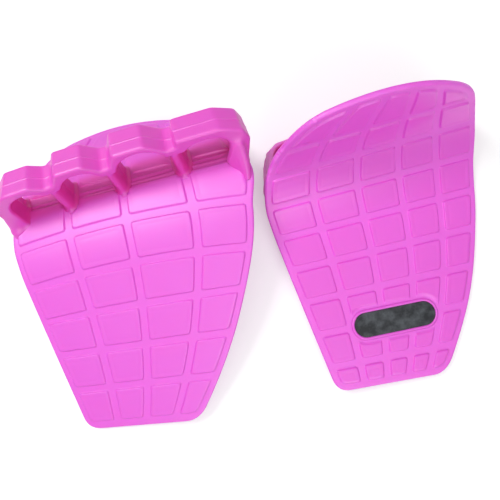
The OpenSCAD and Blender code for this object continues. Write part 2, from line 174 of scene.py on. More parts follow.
class Grip:
    """Places of one grip: along the pad, round its bend, then out to the table."""

    def __init__(self, bend, move, turn, flip, splay, bulge, lean, tuck):
        self.bend, self.flip, self.lean, self.tuck = bend, flip, lean, tuck
        self.splay, self.bulge = splay, bulge
        a, b, c = (math.radians(x) for x in turn)
        spin = Matrix.Rotation(c, 4, "Z") @ Matrix.Rotation(b, 4, "Y") @ Matrix.Rotation(a, 4, "X")
        self.matrix = np.array(Matrix.Translation(Vector(move)) @ spin @ Matrix.Diagonal((1, 1, flip, 1)))

    def out(self, points):
        """Places of the grip in the shared frame, in metres."""
        points = np.asarray(points, float)
        return (points @ self.matrix[:3, :3].T + self.matrix[:3, 3]) * MM

    def middle(self, v):
        """Bend angle at a place along the pad, and where the middle of the sheet lies there."""
        turn = (np.clip(v, BEND_AT, BEND_END) - BEND_AT) / self.bend
        tail = np.maximum(v - BEND_END, 0)
        y = np.minimum(v, BEND_AT) + self.bend * np.sin(turn) + tail * np.cos(turn)
        return turn, y, self.bend * (np.cos(turn) - 1) - tail * np.sin(turn)

    def spread(self, u, v):
        """The index side eased out or in by the way the grip lies, and once more beside the loops."""
        amount, start = self.splay
        side = amount * smooth(u / SPLAY_OVER) * smooth((v - start) / SPLAY_OVER)
        bulge = self.bulge * smooth((u - BULGE_U) / BULGE_U_OVER) * smooth((v - BULGE_V) / BULGE_V_OVER)
        return u + side + bulge

    def bent(self, u, v, w):
        """Places on the pad: across it, along it and out from the middle of the sheet."""
        u, v, w = np.broadcast_arrays(*(np.asarray(x, float) for x in (u, v, w)))
        turn, y, z = self.middle(v)
        return np.stack([self.spread(u, v), y + w * np.sin(turn), z + w * np.cos(turn)], -1)

    def looped(self, x, t, h):
        """Places on the loop band, which leans and tucks in where it carries the grip."""
        x, t, h = np.broadcast_arrays(*(np.asarray(a, float) for a in (x, t, h)))
        turn, y, z = self.middle(LOOP_AT)
        t = t - LITTLE_SHIFT * smooth((-x - SHIFT_FROM) / TUCK_OVER) - self.lean * np.maximum(h, 0)
        over, along = x * COS_T - t * SIN_T, x * SIN_T + t * COS_T
        index_end, little_end = (smooth((side - TUCK_FROM) / TUCK_OVER) for side in (over, -over))
        over = over - self.tuck * np.clip(h / TUCK_H, 0, 1) * (index_end - TUCK_BACK * little_end)
        w = SHEET_T / 2 + h
        return np.stack([
            self.spread(over, LOOP_AT + along), y + along * math.cos(turn) + w * math.sin(turn),
            z - along * math.sin(turn) + w * math.cos(turn)], -1)


COS_T, SIN_T = math.cos(LOOP_TURN), math.sin(LOOP_TURN)


def curve_corner(a, tip, b, steps=14):
    t = np.linspace(0, 1, steps + 1)[:, None]
    a, tip, b = (np.array(p, float) for p in (a, tip, b))
    return (1 - t) ** 2 * a + 2 * t * (1 - t) * tip + t * t * b


def meeting(side):
    """Where a side line meets the finger end."""
    v = PAD_LENGTH
    for _ in range(40):
        v = (v + top_edge(side(v))) / 2
    return side(v), v


def make_outline():
    """The pad's outline in the flat, anticlockwise and evenly spaced, with its outward normals."""
    c, tc = WRIST_CORNER, TOP_CORNER
    lu = little_side(row_place(0, -LITTLE_WRIST, False))
    ru = index_side(row_place(0, INDEX_WRIST, False))
    lv, rv = row_place(0, lu, False), row_place(0, ru, False)
    (su, sv), (tu, tv) = meeting(little_side), meeting(index_side)
    up = np.linspace(rv + c, tv - tc, 160)
    down = np.linspace(sv - tc, lv + c, 160)
    along = np.linspace(tu - tc, su + tc, 120)
    line = np.concatenate([
        curve_corner((ru - c, row_place(0, ru - c, False)), (ru, rv), (index_side(rv + c), rv + c)),
        np.stack([index_side(up), up], -1),
        curve_corner((index_side(tv - tc), tv - tc), (tu, tv), (tu - tc, top_edge(tu - tc))),
        np.stack([along, top_edge(along)], -1),
        curve_corner((su + tc, top_edge(su + tc)), (su, sv), (little_side(sv - tc), sv - tc)),
        np.stack([little_side(down), down], -1),
        curve_corner((little_side(lv + c), lv + c), (lu, lv), (lu + c, row_place(0, lu + c, False))),
    ])
    line = np.concatenate([line, line[:1]])
    length = np.concatenate([[0], np.cumsum(np.linalg.norm(np.diff(line, axis=0), axis=1))])
    keep = np.concatenate([[True], np.diff(length) > 1e-6])
    line, length = line[keep], length[keep]
    at = np.linspace(0, length[-1], 1600, endpoint=False)
    line = np.stack([np.interp(at, length, line[:, i]) for i in (0, 1)], -1)
    way = np.roll(line, -3, 0) - np.roll(line, 3, 0)
    way /= np.linalg.norm(way, axis=1)[:, None]
    return line, np.stack([way[:, 1], -way[:, 0]], -1)


OUTLINE, OUTWARD = make_outline()


def inside_outline(u, v):
    """How far each place lies inside the outline, and the nearest outline point."""
    p = np.stack([np.ravel(u), np.ravel(v)], -1)
    near = np.zeros(len(p), int)
    for i in range(0, len(p), 4000):
        d = p[i:i + 4000, None] - OUTLINE[None]
        near[i:i + 4000] = np.argmin((d * d).sum(-1), 1)
    away = p - OUTLINE[near]
    deep = -(away * OUTWARD[near]).sum(-1)
    return deep.reshape(np.shape(u)), near.reshape(np.shape(u))


def spread_lines(fixed, low, high, gap):
    """Sorted places from a list, none closer than a hair, with wide gaps filled evenly."""
    fixed = sorted([low, high] + [x for x in fixed if low < x < high])
    lines = [fixed[0]]
    for x in fixed[1:]:
        span = x - lines[-1]
        if span < 0.09:
            continue
        n = max(1, math.ceil(span / gap))
        start = lines[-1]
        lines += [start + span * (k + 1) / n for k in range(n)]
    return np.array(lines)


EDGE_STEPS = [-0.3, -0.1, 0.05, 0.2, 0.35, 0.5, 0.7, 1.0]
FRAME_STEPS = [FRAME_IN - 0.35, FRAME_IN - 0.15, FRAME_IN, FRAME_IN + 0.15, FRAME_IN + 0.35]
HALF_STEPS = [0.0, 0.8] + [GROOVE / 2 + s for s in EDGE_STEPS + FRAME_STEPS]
SIDE_STEPS = [RIM, SIDE_LINE] + [BORDER + s for s in EDGE_STEPS + FRAME_STEPS]


def column_edge(v, shares, k):
    """Line between tile columns, or the pad's side for the first and last one."""
    if k in (0, len(shares) - 1):
        return little_side(v) if k == 0 else index_side(v)
    return across(v, shares[k])


def column_steps(shares, k):
    """Distances of the close mesh lines from the two edges of a column."""
    left = SIDE_STEPS if k == 0 else HALF_STEPS
    return left, SIDE_STEPS if k == len(shares) - 2 else HALF_STEPS


def column_plan(shares, gap, dense=None):
    """Lines across the pad: close at tile edges, wider on the tiles."""
    v = np.linspace(0, PAD_LENGTH, 60)
    plan = []
    for k in range(len(shares) - 1):
        left, right = column_steps(shares, k)
        free = float((column_edge(v, shares, k + 1) - column_edge(v, shares, k)).max()) - left[-1] - right[-1]
        count = max(1, math.ceil(free / (dense[k] if dense and k in dense else gap)))
        plan += [(k, 0.0, s, 0.0) for s in left]
        plan += [(k, i / count, left[-1], right[-1]) for i in range(1, count)]
        plan += [(k, 1.0, 0.0, s) for s in reversed(right if k == len(shares) - 2 else right[1:])]
    return plan


def column_line(entry, v, shares):
    """Place across the pad of one planned line."""
    k, part, p, q = entry
    left, right = column_steps(shares, k)
    a, b = column_edge(v, shares, k), column_edge(v, shares, k + 1)
    room = np.minimum(1, (b - a - 0.4) / (left[-1] + right[-1]))
    return (1 - part) * (a + p * room) + part * (b - q * room)


def row_edges(hand):
    """Lower and upper edges of the tile rows along the pad."""
    pitch, count = (INNER_PITCH, INNER_ROWS) if hand else (OUTER_PITCH, OUTER_ROWS)
    gap = GROOVE / 2
    rows = [
        (max(BORDER, FLEX_AT - (k + 1) * pitch + gap), FLEX_AT - k * pitch - gap) for k in range(count)
    ]
    if hand:
        return rows + [(FLEX_AT + gap, CREASE_AT - GROOVE - BEAD_W), (CREASE_AT + gap, 2 * PAD_LENGTH)]
    more = [FLEX_AT + k * OUTER_PITCH for k in range(FINGER_ROWS)]
    return rows + [(v + gap, 2 * PAD_LENGTH if v == more[-1] else v + OUTER_PITCH - gap) for v in more]


def rounded(a, b, r):
    """Inside distance of a corner made by two edges, rounded."""
    x, y = np.maximum(r - a, 0), np.maximum(r - b, 0)
    return np.where((x > 0) & (y > 0), r - np.sqrt(x * x + y * y), np.minimum(a, b))


def foot_distance(u, v):
    """Plan distance from the feet of the finger loops."""
    d = np.full(np.shape(u), 99.0)
    x, t = u * COS_T + (v - LOOP_AT) * SIN_T, (v - LOOP_AT) * COS_T - u * SIN_T
    for j in range(1, 4):
        far, near, back = FOOT_TIP - LOOP_LENGTH / 2, NOSE_LENGTH - LOOP_LENGTH / 2, LOOP_LENGTH / 2
        s = np.clip((t - far) / (near - far), 0, 1)
        r = FOOT_TIP + (FOOT_HALF - FOOT_TIP) * np.sqrt(s)
        d = np.minimum(d, np.hypot(x - wall_x(j), t - np.clip(t, far, back)) - r)
    low, high = FLEX_AT + GROOVE, LOOP_AT - LOOP_LENGTH / 2
    s = np.clip((v - low) / (high - low), 0, 1)
    back = np.maximum(t - LOOP_LENGTH / 2, 0)
    front = np.maximum(low - v, 0)
    for near, wall in ((u - little_side(v), LITTLE_WALL), (index_side(v) - u, INDEX_WALL)):
        reach = WEB_THIN + (wall - WEB_THIN) * s
        d = np.minimum(d, np.hypot(np.maximum(near - reach, 0), back + front))
    return d


INLAY_SLANT = math.atan(WRIST_SLANT * (1 - INLAY_AT / FLEX_AT))
INLAY_U = float(across(row_place(INLAY_AT, across(INLAY_AT, 0.5), False), 0.5))
INLAY_V = float(row_place(INLAY_AT, INLAY_U, False))


def stadium_distance(u, v):
    """Plan distance from the edge of the inlay."""
    c, s = math.cos(INLAY_SLANT), math.sin(INLAY_SLANT)
    x, y = (u - INLAY_U) * c + (v - INLAY_V) * s, (v - INLAY_V) * c - (u - INLAY_U) * s
    return np.hypot(np.maximum(np.abs(x) - (INLAY_LENGTH - INLAY_WIDTH) / 2, 0), y) - INLAY_WIDTH / 2


def relief(u, v, hand):
    """Height of a face over the sheet, and how much of a tile it is."""
    shares = INNER_SHARES if hand else OUTER_SHARES
    deep, _ = inside_outline(u, v)
    r, spread = row_of(u, v, hand)
    best = np.full(np.shape(u), -9.0)
    for k in range(len(shares) - 1):
        sides = []
        for j, sign in ((k, 1), (k + 1, -1)):
            if j in (0, len(shares) - 1):
                continue
            tilt = across(v + 0.5, shares[j]) - across(v - 0.5, shares[j])
            sides.append((sign * (u - across(v, shares[j])) - GROOVE / 2) / np.sqrt(1 + tilt * tilt))
        side = sides[0] if len(sides) == 1 else np.minimum(*sides)
        for low, high in row_edges(hand):
            d = rounded(side, np.minimum(r - low, high - r) * spread, TILE_R)
            best = np.maximum(best, d)
    d = rounded(best, deep - BORDER, TILE_R)
    if hand:
        d = np.minimum(d, foot_distance(u, v) - FOOT_CLEAR)
    else:
        d = np.minimum(d, stadium_distance(u, v) - INLAY_RIM - GROOVE / 2)
    tile = smooth((d + 0.1) / EDGE_W)
    h = TILE_H * tile - FRAME_DEEP * np.exp(-(((d - FRAME_IN) / FRAME_W) ** 2)) * (d > 1)
    if hand:
        clear = smooth((deep - BORDER + BEAD_CLEAR) / (2 * BEAD_CLEAR))
        clear = clear * smooth((foot_distance(u, v) - 0.2) / 0.8)
        for away in (-BEAD_W, BEAD_W):
            bump = np.clip(1 - np.abs(v - bead_line(u) - away) / (0.75 * BEAD_W), 0, 1)
            h = np.maximum(h, BEAD_H * smooth(bump) * clear)
    return h, tile


def bead_line(u):
    """Place along the pad of the line midway between the two crease beads."""
    return CREASE_AT - GROOVE / 2 + BEAD_SLANT * (u - BEAD_U)


def wall_t(j):
    """Thickness of the end wall or divider before loop j."""
    return LITTLE_WALL if j == 0 else INDEX_WALL if j == 4 else DIVIDER_T


def wall_x(j):
    """Middle of the end wall or divider before loop j, across the band."""
    if j == 0:
        return little_side(LOOP_AT) + LITTLE_WALL / 2
    if j == 4:
        return index_side(LOOP_AT) - INDEX_WALL / 2
    return across(LOOP_AT, INNER_SHARES[j])


def face_mesh(hand):
    """One face of the pad with its tiles, and its border loop ready for the rim."""
    shares = INNER_SHARES if hand else OUTER_SHARES
    fixed = []
    for low, high in row_edges(hand):
        fixed += [low + s for s in EDGE_STEPS + FRAME_STEPS]
        fixed += [high - s for s in EDGE_STEPS + FRAME_STEPS]
    if hand:
        fixed += list(np.arange(*LOOP_ROWS, FINE_GAP))
        dense = None
    else:
        fixed += list(np.arange(INLAY_AT - INLAY_ROWS, INLAY_AT + INLAY_ROWS, FINE_GAP))
        dense = {k: INLAY_GAP for k in INLAY_COLUMNS}
    fixed += [PAD_LENGTH - BORDER - s for s in EDGE_STEPS + FRAME_STEPS] + [PAD_LENGTH - SIDE_LINE]
    rows = spread_lines(fixed, RIM, PAD_LENGTH - RIM, ROW_GAP)
    plan = column_plan(shares, COLUMN_GAP, dense)
    warp = LOOP_ROWS[1]
    u = np.array([column_line(c, rows, shares) for c in plan])
    for _ in range(14):
        base = row_place(np.minimum(rows, warp), u, hand)
        part = np.maximum(rows - warp, 0) / (PAD_LENGTH - RIM - warp)
        v = base + part * (top_edge(u) - RIM - base)
        u = np.array([column_line(c, v[i], shares) for i, c in enumerate(plan)])
    deep, near = inside_outline(u, v)
    index = np.arange(u.size).reshape(u.shape)
    quads = np.stack([index[:-1, :-1], index[1:, :-1], index[1:, 1:], index[:-1, 1:]], -1).reshape(-1, 4)
    quads = quads[deep.ravel()[quads].mean(1) > RIM - 0.05]
    edges = {}
    for q in quads.tolist():
        for a, b in zip(q, q[1:] + q[:1]):
            if (b, a) in edges:
                del edges[(b, a)]
            else:
                edges[(a, b)] = True
    follow = dict(edges.keys())
    start = next(iter(follow))
    loop = [start]
    while follow[loop[-1]] != start:
        loop.append(follow[loop[-1]])
    loop = np.array(loop)
    at = near.ravel()[loop]
    u, v = u.ravel().copy(), v.ravel().copy()
    u[loop] = OUTLINE[at, 0] - RIM * OUTWARD[at, 0]
    v[loop] = OUTLINE[at, 1] - RIM * OUTWARD[at, 1]
    used = np.unique(quads)
    fresh = np.full(u.size, -1)
    fresh[used] = np.arange(len(used))
    u, v, quads, loop = u[used], v[used], fresh[quads], fresh[loop]
    h, tile = relief(u, v, hand)
    sign = 1 if hand else -1
    w = sign * (SHEET_T / 2 + h)
    uvw = [np.stack([u, v, w], -1)]
    # The darker tile colour, painted as relief shade, is weaker on the hand side
    tiles = [tile * (HAND_TILE if hand else 1)]
    faces = [quads if hand else quads[:, ::-1]]
    last, total, steps = loop, len(used), 4
    for k in range(1, steps + 1):
        angle = k / steps * math.pi / 2
        place = OUTLINE[at] - RIM * (1 - math.sin(angle)) * OUTWARD[at]
        height = np.full(len(at), sign * (SHEET_T / 2 - RIM * (1 - math.cos(angle))))
        uvw.append(np.column_stack([place, height]))
        tiles.append(np.zeros(len(at)))
        now = np.arange(total, total + len(at))
        total += len(at)
        strip = np.stack([last, now, np.roll(now, -1), np.roll(last, -1)], -1)
        faces.append(strip if hand else strip[:, ::-1])
        last = now
    return np.concatenate(uvw), np.concatenate(tiles), np.concatenate(faces), last, at


def zip_loops(a, at_a, b, at_b):
    """Triangles between two loops that run the same way round the outline."""
    size = len(OUTLINE)
    i0, j0 = int(np.argmin(at_a)), int(np.argmin(at_b))
    a, at_a = np.roll(a, -i0), np.roll(at_a, -i0)
    b, at_b = np.roll(b, -j0), np.roll(at_b, -j0)
    i = j = 0
    faces = []
    while i < len(a) or j < len(b):
        next_a = at_a[i + 1] if i + 1 < len(a) else size + at_a[0] if i < len(a) else 9e9
        next_b = at_b[j + 1] if j + 1 < len(b) else size + at_b[0] if j < len(b) else 9e9
        p, q = a[i % len(a)], b[j % len(b)]
        if next_a <= next_b:
            i += 1
            faces.append((p, q, a[i % len(a)]))
        else:
            j += 1
            faces.append((p, q, b[j % len(b)]))
    return faces


def new_object(name, points, faces, flip, material, **attributes):
    """A smooth mesh object with one material and values per point."""
    faces = [list(f)[::-1] if flip else list(f) for f in faces]
    mesh = bpy.data.meshes.new(name)
    mesh.from_pydata([tuple(p) for p in points], [], [[int(i) for i in f] for f in faces])
    for key, values in attributes.items():
        mesh.attributes.new(key, "FLOAT", "POINT").data.foreach_set("value", np.asarray(values, np.float32))
    mesh.polygons.foreach_set("use_smooth", [True] * len(mesh.polygons))
    mesh.update()
    obj = bpy.data.objects.new(name, mesh)
    bpy.context.scene.collection.objects.link(obj)
    mesh.materials.append(material)
    return obj


def stadium_loop(length, width, n=40):
    """Points round a slot with round ends."""
    a = np.linspace(-math.pi / 2, math.pi / 2, n)
    right = np.stack([np.cos(a) * width / 2 + (length - width) / 2, np.sin(a) * width / 2], -1)
    xs = np.linspace((length - width) / 2, -(length - width) / 2, 16)[1:-1]
    top = np.stack([xs, np.full(len(xs), width / 2)], -1)
    return np.concatenate([right, top, -right, -top])


def swept_stadium(profile, closed):
    """A stadium swept by a list of (inset, height) pairs on the bar side."""
    rings = []
    for inset, height in profile:
        ring = stadium_loop(INLAY_LENGTH - 2 * inset, INLAY_WIDTH - 2 * inset)
        c, s = math.cos(INLAY_SLANT), math.sin(INLAY_SLANT)
        rings.append(np.column_stack([
            ring[:, 0] * c - ring[:, 1] * s + INLAY_U, ring[:, 0] * s + ring[:, 1] * c + INLAY_V,
            np.full(len(ring), -height)]))
    n, m = len(rings[0]), len(rings)
    faces = []
    for k in range(m if closed else m - 1):
        for i in range(n):
            a, b = k * n, (k + 1) % m * n
            faces.append((a + i, b + i, b + (i + 1) % n, a + (i + 1) % n))
    if not closed:
        faces += [tuple(range(n)), tuple(range((m - 1) * n, m * n))[::-1]]
    return np.concatenate(rings), faces


def make_pad(name, grip, material):
    """The tiled sheet of one grip with the raised rim round its inlay."""
    hand = face_mesh(True)
    bar = face_mesh(False)
    n = len(hand[0])
    faces = [list(f) for f in hand[2]] + [list(f + n) for f in bar[2]]
    # Both loops run the same way; triangles face outwards
    faces += [list(f) for f in zip_loops(hand[3], hand[4], bar[3] + n, bar[4])]
    uvw = np.concatenate([hand[0], bar[0]])
    tiles = np.concatenate([hand[1], bar[1]])
    face, r = SHEET_T / 2, INLAY_RIM / 2
    ring = [(-INLAY_RIM - 0.25, face - RIM_SUNK), (-INLAY_RIM - 0.2, face + 0.15)]
    ring += [
        (-r - math.cos(t) * r, face + TILE_H - RIM_ROUND + RIM_ROUND * math.sin(t))
        for t in np.linspace(0, math.pi, 9)
    ]
    ring += [(-0.06, face - RIM_SUNK)]
    more, ring_faces = swept_stadium(ring, True)
    faces += [[i + len(uvw) for i in f] for f in ring_faces]
    uvw = np.concatenate([uvw, more])
    tiles = np.concatenate([tiles, np.ones(len(more))])
    points = grip.out(grip.bent(*uvw.T))
    u, v, w = uvw.T
    x, t = u * COS_T + (v - LOOP_AT) * SIN_T, (v - LOOP_AT) * COS_T - u * SIN_T
    # Painted shade: the hand side is coloured a deeper rose below the loops, where the band shades it
    deep = smooth((t + SHADE_WRIST) / SHADE_FADE) * smooth((SHADE_TIP - t) / SHADE_FADE)
    deep = deep * smooth((x - wall_x(0)) / SHADE_SIDE) * smooth((wall_x(4) - x) / SHADE_SIDE)
    deep = PAD_SHADE * deep * (w > 0)
    return new_object(name, points, faces, grip.flip < 0, material, tile=tiles, deep=deep)


def make_inlay(name, grip, material):
    """The plain dark plate, with a rounded edge and a slight crown."""
    top = SHEET_T / 2 + TILE_H
    profile = [(0.0, top - TILE_H - INLAY_DEPTH), (0.0, top - PLATE_SIDE)]
    profile += [
        (PLATE_R * (1 - math.cos(t)), top - PLATE_SIDE + PLATE_R * math.sin(t))
        for t in np.linspace(0.3, math.pi / 2, 5)
    ]
    profile += [(inset, top - drop) for inset, drop in PLATE_CROWN]
    more, faces = swept_stadium(profile, False)
    return new_object(name, grip.out(grip.bent(*more.T)), faces, grip.flip > 0, material)


# Finger loops
HOLE_R = [(wall_x(j + 1) - wall_t(j + 1) / 2 - wall_x(j) - wall_t(j) / 2) / 2 for j in range(4)]
HOLE_X = [wall_x(j) + wall_t(j) / 2 + HOLE_R[j] for j in range(4)]
HOLE_Z = [HOLE_R[j] + OPENING_LIFT + (INDEX_RISE if j == 3 else 0) for j in range(4)]
LOOP_TOP = [21.6, 23.4, 24.2, 21.6]
FLATS = [(-40.0, -30.2), (-18.4, -7.1), (5.3, 17.2), (27.9, 41.2)]
SEAM_T, SEAM_H, SEAM_W = -0.4, 0.13, 0.17
EDGE_R, ROOF_EASE = 1.1, 0.75
END_OUT, ROOF_FOOT = 3.0, -8
LEAN_FROM, LEAN_OVER, LEAN_INDEX, LEAN_LITTLE = 34, 12, 0.10, 0.22
FOOT_FILLET, WEB_FILLET, SUNK = 3.0, 4.0, 0.95
FOOT_SUNK, FOOT_REACH, HOLE_EASE, NOSE_EASE = 0.07, 1.5, 0.3, 0.8
SIDE_IN, SIDE_FLARE, SIDE_EASE = 0.15, 0.5, 0.8
REST_H, REST_EASE = 0.05, 0.8

# End webs, from below the band down to the flex groove
WEB_SLOPES = dict(little=0.05, index=0.4)
WEB_END, WEB_UNDER = FLEX_AT + GROOVE - 1, 1.2
WEB_SUNK, WEB_RISE, WEB_FALL = 0.6, 0.8, 1.5
WEB_TAIL, WEB_ROOT, WEB_DEEP = 0.55, 0.45, 9
WEB_IN, WEB_CLOSER, WEB_TILT, WEB_ROUND = 0.5, 0.7, 0.62, 2.2
WEB_BACK, BACK_EASE, WEB_PAST, PAST_EASE = 3.0, 0.5, 1.5, 0.8

# Painted shade: a deeper rose over the whole band, stronger in its openings and under its front rim
BAND_SHADE, OPENING_SHADE = 0.3, 0.85
HOLE_SHADE, HOLE_FADE, NOSE_SHADE, NOSE_FADE = 0.25, 1.1, 3.5, 2
RIM_FADE, FRONT_SHADE, FRONT_FADE = 1.6, 1.5, 2.5

# Sample grid of the band: first, last and count, or first, last and widest gap along the openings
GRID_X, GRID_H = (-HALF - 2.4, HALF + 6.4, 244), (-4.6, 26.6, 72)
GRID_T, SEAM_LINES = (-16.4, 9.2, 0.45), (-0.45, -0.25, -0.12, 0, 0.12, 0.25, 0.45)
SLOPE_MIN, MOVE_MAX = 0.3, 0.2


def roof_line():
    """Corners of the band seen along its openings, from the little end to the index end."""
    line = [(little_side(LOOP_AT), ROOF_FOOT), (little_side(LOOP_AT), SHOULDER_H)]
    for j in range(4):
        if j:
            line += [(wall_x(j) - VALLEY_HALF, VALLEY_H), (wall_x(j) + VALLEY_HALF, VALLEY_H)]
        line += [(x, LOOP_TOP[j]) for x in FLATS[j]]
    end = index_side(LOOP_AT)
    line += [(end + 0.3 * END_OUT, SHOULDER_H + 2), (end + END_OUT, SHOULDER_H - 4), (end - 1.5, ROOF_FOOT)]
    return np.array(line)


ROOF = roof_line()


def polygon_distance(x, h):
    """Distance to the roof line, negative inside."""
    best = np.full(np.broadcast(x, h).shape, 1e9)
    inside = np.zeros(best.shape, bool)
    a = ROOF
    b = np.roll(ROOF, -1, 0)
    for (ax, ah), (bx, bh) in zip(a, b):
        ex, eh = bx - ax, bh - ah
        t = np.clip(((x - ax) * ex + (h - ah) * eh) / (ex * ex + eh * eh), 0, 1)
        best = np.minimum(best, np.hypot(x - ax - t * ex, h - ah - t * eh))
        if ah != bh:
            cross = ((ah > h) != (bh > h)) & (x < ex * (h - ah) / eh + ax)
            inside = inside ^ cross
    return np.where(inside, -best, best)


def eased_roof(x, h):
    """The roof line with its corners eased by averaging over a small ring."""
    ring = [(ROOF_EASE * math.cos(k * math.pi / 3), ROOF_EASE * math.sin(k * math.pi / 3)) for k in range(6)]
    return sum(polygon_distance(x + dx, h + dh) for dx, dh in ring) / 6


ROOF_STEP = 0.12
ROOF_X, ROOF_H = np.arange(-60, 66, ROOF_STEP), np.arange(-9, 30, ROOF_STEP)
ROOF_TABLE = eased_roof(ROOF_X[:, None], ROOF_H[None, :])


def roof_distance(x, h):
    """The eased roof distance, read from its table."""
    a = np.clip((x - ROOF_X[0]) / ROOF_STEP, 0, len(ROOF_X) - 1.01)
    b = np.clip((h - ROOF_H[0]) / ROOF_STEP, 0, len(ROOF_H) - 1.01)
    i, j = a.astype(int), b.astype(int)
    a, b = a - i, b - j
    low = ROOF_TABLE[i, j] * (1 - b) + ROOF_TABLE[i, j + 1] * b
    return low * (1 - a) + (ROOF_TABLE[i + 1, j] * (1 - b) + ROOF_TABLE[i + 1, j + 1] * b) * a


def loops_distance(grip, x, t, h):
    """Distance to the four loops with their feet and end webs, negative inside."""
    face_r = grip.bend + SHEET_T / 2
    over, along = x * COS_T - t * SIN_T, x * SIN_T + t * COS_T
    ground = np.sqrt(face_r ** 2 - along * along) - face_r
    index_end, little_end = (smooth((side - LEAN_FROM) / LEAN_OVER) for side in (x, -x))
    skew = x + t * (LEAN_INDEX * index_end - LEAN_LITTLE * little_end)
    outer = roof_distance(skew, h) - SEAM_H * np.exp(-(((t - SEAM_T) / SEAM_W) ** 2))
    hole = np.full(np.broadcast(x, h).shape, 1e9)
    for j in range(4):
        hole = np.minimum(hole, np.hypot(x - HOLE_X[j], np.maximum(h - HOLE_Z[j], 0)) - HOLE_R[j])
    flat = smax(outer, -hole, HOLE_EASE)
    qx, qt = flat + EDGE_R, np.abs(t) - LOOP_LENGTH / 2 + EDGE_R
    d = np.minimum(np.maximum(qx, qt), 0) + np.hypot(np.maximum(qx, 0), np.maximum(qt, 0)) - EDGE_R
    # Noses of the dividers, under the front rim
    nose = np.clip((NOSE_LENGTH - LOOP_LENGTH / 2 - t) / NOSE_LENGTH, 0, 1)
    half = DIVIDER_T / 2 * np.sqrt(1 - nose ** 2)
    for j in (1, 2, 3):
        beside = np.abs(x - wall_x(j))
        away = np.maximum(np.maximum(h - VALLEY_H + RIM_H, half - beside), beside - DIVIDER_T)
        away = np.maximum(away, t + LOOP_LENGTH / 2 - NOSE_LENGTH)
        d = smax(d, -away, NOSE_EASE)
    # End webs, down along the pad's sides to the flex groove
    far = grip.bend * math.sin((WEB_END - LOOP_AT) / grip.bend)
    near_t = -LOOP_LENGTH / 2 + WEB_UNDER
    s = np.clip((near_t - along) / (near_t - far), 0, 1)
    top = ground - WEB_SUNK + (END_WEB_H + WEB_RISE) * (1 - s) ** WEB_FALL
    v = LOOP_AT + along
    eased = smin(d, h - ground + FOOT_SUNK, FOOT_FILLET)
    d = np.maximum(eased, d - FOOT_REACH)
    little_web = over - little_side(v), LITTLE_WALL, WEB_SLOPES["little"]
    index_web = index_side(v) - over, INDEX_WALL, WEB_SLOPES["index"]
    for near, wall, slope in (little_web, index_web):
        thick = wall * (WEB_TAIL + WEB_ROOT * (1 - s)) + slope * np.clip(top - h, 0, WEB_DEEP) * (1 - s)
        plan = np.abs(near - WEB_IN - WEB_CLOSER * s - thick / 2) - thick / 2
        web = smax(plan, (h - top) * WEB_TILT, WEB_ROUND)
        web = smax(smax(web, along + WEB_BACK, BACK_EASE), far - WEB_PAST - along, PAST_EASE)
        d = smin(d, web, WEB_FILLET)
    # The feet keep within the pad's sides
    for beyond in (little_side(v) - over, over - index_side(v)):
        d = smax(d, beyond + SIDE_IN - SIDE_FLARE * np.maximum(h - ground, 0), SIDE_EASE)
    return np.maximum(d, ground - SUNK - h)


def surface_nets(field, xs, ts, hs):
    """Quads round the zero level of a field on a box grid with uneven lines."""
    shape = tuple(n - 1 for n in field.shape)
    total = np.zeros(shape + (3,))
    count = np.zeros(shape)
    axes = [xs, ts, hs]
    crossings = []
    for axis in range(3):
        a = np.take(field, np.arange(field.shape[axis] - 1), axis)
        b = np.take(field, np.arange(1, field.shape[axis]), axis)
        hit = np.argwhere((a < 0) != (b < 0))
        fa, fb = a[tuple(hit.T)], b[tuple(hit.T)]
        place = np.stack([axes[k][hit[:, k]] for k in range(3)], -1)
        step = axes[axis][hit[:, axis] + 1] - axes[axis][hit[:, axis]]
        place[:, axis] += step * fa / (fa - fb)
        o1, o2 = [k for k in range(3) if k != axis]
        cells = []
        for d1, d2 in ((-1, -1), (0, -1), (0, 0), (-1, 0)):
            cell = hit.copy()
            cell[:, o1] += d1
            cell[:, o2] += d2
            cells.append(cell)
            np.add.at(total, tuple(cell.T), place)
            np.add.at(count, tuple(cell.T), 1)
        crossings.append((axis, fa < 0, cells))
    used = np.argwhere(count > 0)
    number = np.full(shape, -1)
    number[tuple(used.T)] = np.arange(len(used))
    points = total[tuple(used.T)] / count[tuple(used.T)][:, None]
    faces = []
    for axis, leaves, cells in crossings:
        quad = np.stack([number[tuple(c.T)] for c in cells], -1)
        turn = leaves if axis != 1 else ~leaves
        faces.append(np.where(turn[:, None], quad, quad[:, ::-1]))
    return points, np.concatenate(faces)


def loop_painted_shade(x, t, h):
    """How far a place lies within an opening, where a deeper rose is painted as shade."""
    hole = np.full(len(x), 9.0)
    nose = np.zeros(len(x))
    for j in range(4):
        hole = np.minimum(hole, np.hypot(x - HOLE_X[j], np.maximum(h - HOLE_Z[j], 0)) - HOLE_R[j])
        if j:
            nose = np.maximum(nose, 1 - smooth((np.abs(x - wall_x(j)) - NOSE_SHADE) / NOSE_FADE))
    inner = 1 - smooth((hole - HOLE_SHADE) / HOLE_FADE)
    nose = nose * smooth((VALLEY_H - RIM_H - h) / RIM_FADE)
    front = smooth((t + LOOP_LENGTH / 2 + FRONT_SHADE) / FRONT_FADE)
    return OPENING_SHADE * np.maximum(inner, nose) * front


